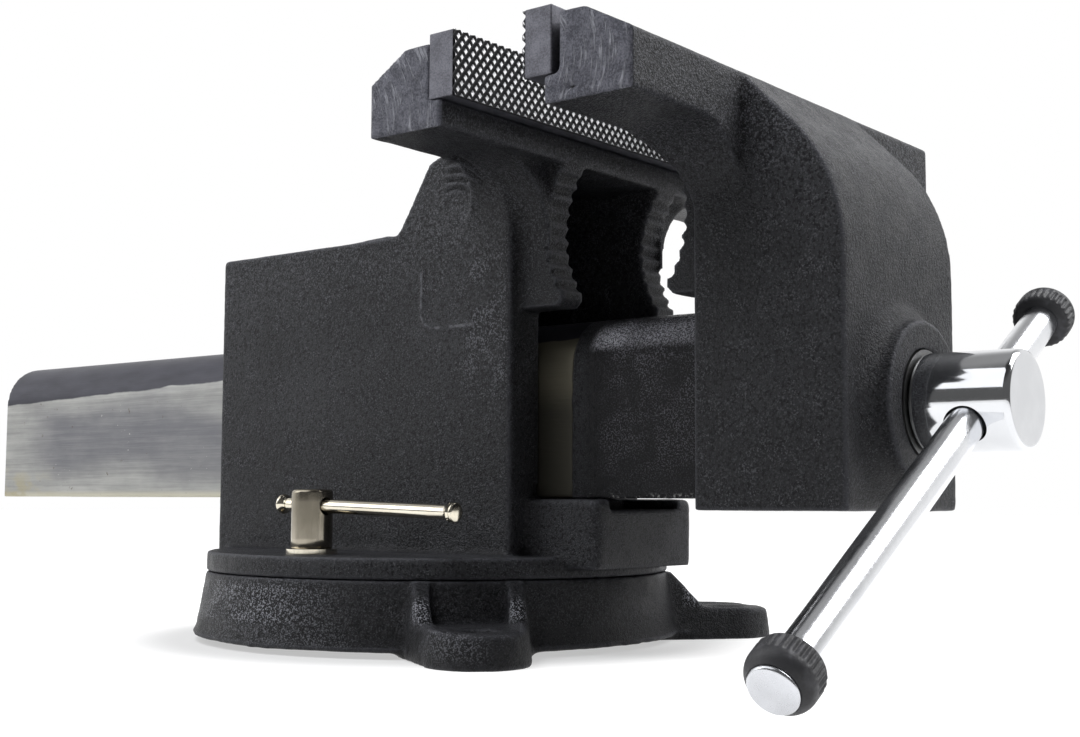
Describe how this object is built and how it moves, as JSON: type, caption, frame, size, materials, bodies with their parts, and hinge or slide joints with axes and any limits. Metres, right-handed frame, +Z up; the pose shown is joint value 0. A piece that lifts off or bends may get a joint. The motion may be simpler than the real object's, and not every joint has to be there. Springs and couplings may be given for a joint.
{
  "type": "swivel bench vise",
  "caption": "Bench vise on a locking swivel base, with a long sliding jaw, serrated jaw plates, toothed pipe jaws, a screw spindle and a sliding handle.",
  "frame": {"origin": "on the swivel axis, at the underside of the base", "axes": "+X along the slide towards the handle, +Y across the jaws, +Z up the swivel axis"},
  "size_m": [0.5176, 0.237, 0.2045],
  "materials": {
    "cast_body": "dark grey enamel over rough casting",
    "cast_base": "black enamel over coarse casting",
    "jaw_steel": "black oxide with bright tooth tips",
    "plain_steel": "turned and oiled",
    "chrome": "bright chrome",
    "nickel": "warm nickel plate",
    "rubber": "ribbed black rubber"
  },
  "bodies": {
    "base": {"swivel_base": "cast_base"},
    "fixed_jaw": {"static_body": "cast_body", "static_jaw_plate": "jaw_steel", "static_jaw_pins": "plain_steel", "spindle_nut": "plain_steel", "spindle_nut_screw": "plain_steel", "lock_nuts": "plain_steel", "lock_washers": "nickel"},
    "sliding_jaw": {"moving_jaw": "cast_body", "moving_jaw_plate": "jaw_steel", "moving_jaw_pins": "plain_steel", "thrust_washer": "plain_steel", "spring_washer": "plain_steel", "spindle_spring": "plain_steel"},
    "screw": {"spindle": "chrome", "retaining_collar": "plain_steel", "collar_pin": "plain_steel"},
    "handle": {"handle_bar": "chrome", "handle_grip_lower": "rubber", "handle_grip_upper": "rubber", "handle_button_lower": "chrome", "handle_button_upper": "chrome"},
    "lock_near": {"lock_bolt_near": "nickel"},
    "lock_far": {"lock_bolt_far": "nickel"},
    "bar_near": {"lock_bar_near": "nickel"},
    "bar_far": {"lock_bar_far": "nickel"}
  },
  "joints": [
    {"name": "swivel", "type": "hinge", "parent": "base", "child": "fixed_jaw", "pos_m": [0, 0, 0.0264], "axis": [0, 0, 1], "continuous": true},
    {"name": "jaw_slide", "type": "slide", "parent": "fixed_jaw", "child": "sliding_jaw", "axis": [1, 0, 0], "range_m": [-0.0273, 0.17]},
    {"name": "spindle_spin", "type": "hinge", "parent": "sliding_jaw", "child": "screw", "pos_m": [0.2275, 0, 0.0851], "axis": [1, 0, 0], "range_deg": [-1635, 10195]},
    {"name": "handle_slide", "type": "slide", "parent": "screw", "child": "handle", "axis": [0, 0.8643, 0.503], "range_m": [-0.043, 0.1242]},
    {"name": "lock_near_turn", "type": "hinge", "parent": "fixed_jaw", "child": "lock_near", "pos_m": [0, -0.0695, 0.036], "axis": [0, 0, 1], "range_deg": [-180, 15]},
    {"name": "lock_far_turn", "type": "hinge", "parent": "fixed_jaw", "child": "lock_far", "pos_m": [0, 0.0695, 0.036], "axis": [0, 0, 1], "range_deg": [-15, 180]},
    {"name": "bar_near_slide", "type": "slide", "parent": "lock_near", "child": "bar_near", "axis": [0.9996, 0, -0.0297], "range_m": [-0.06, 0.0055]},
    {"name": "bar_far_slide", "type": "slide", "parent": "lock_far", "child": "bar_far", "axis": [0.9996, 0, -0.0297], "range_m": [-0.06, 0.0055]}
  ],
  "couplings": [
    {"joint": "jaw_slide", "follows": "spindle_spin", "m_per_rad": 0.00095493}
  ]
}
